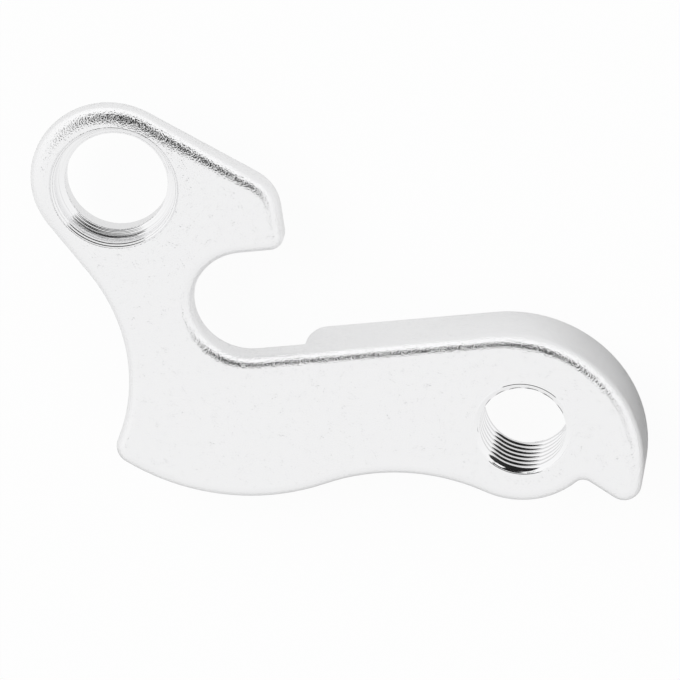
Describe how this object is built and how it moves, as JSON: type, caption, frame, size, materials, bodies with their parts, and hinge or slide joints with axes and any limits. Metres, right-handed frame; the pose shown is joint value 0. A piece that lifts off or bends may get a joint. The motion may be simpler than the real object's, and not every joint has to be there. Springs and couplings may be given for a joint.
{
  "type": "bicycle derailleur hanger",
  "caption": "Flat aluminium hanger that bolts to a frame's dropout through a counterbored eyelet and carries a rear derailleur in a threaded hole, with an open axle slot.",
  "frame": {"origin": "on the axis of the frame-fixing hole, in the thin part's back face, which seats on the frame", "axes": "+X along the axle slot towards its mouth, +Y from the derailleur hole's side towards the eyelet, +Z out of the outboard face along the fixing hole"},
  "size_m": [0.0593, 0.0489, 0.0077],
  "materials": {
    "aluminium": "bare silver aluminium, blasted to a satin"
  },
  "bodies": {
    "root": {"derailleur_hanger": "aluminium"}
  },
  "joints": []
}
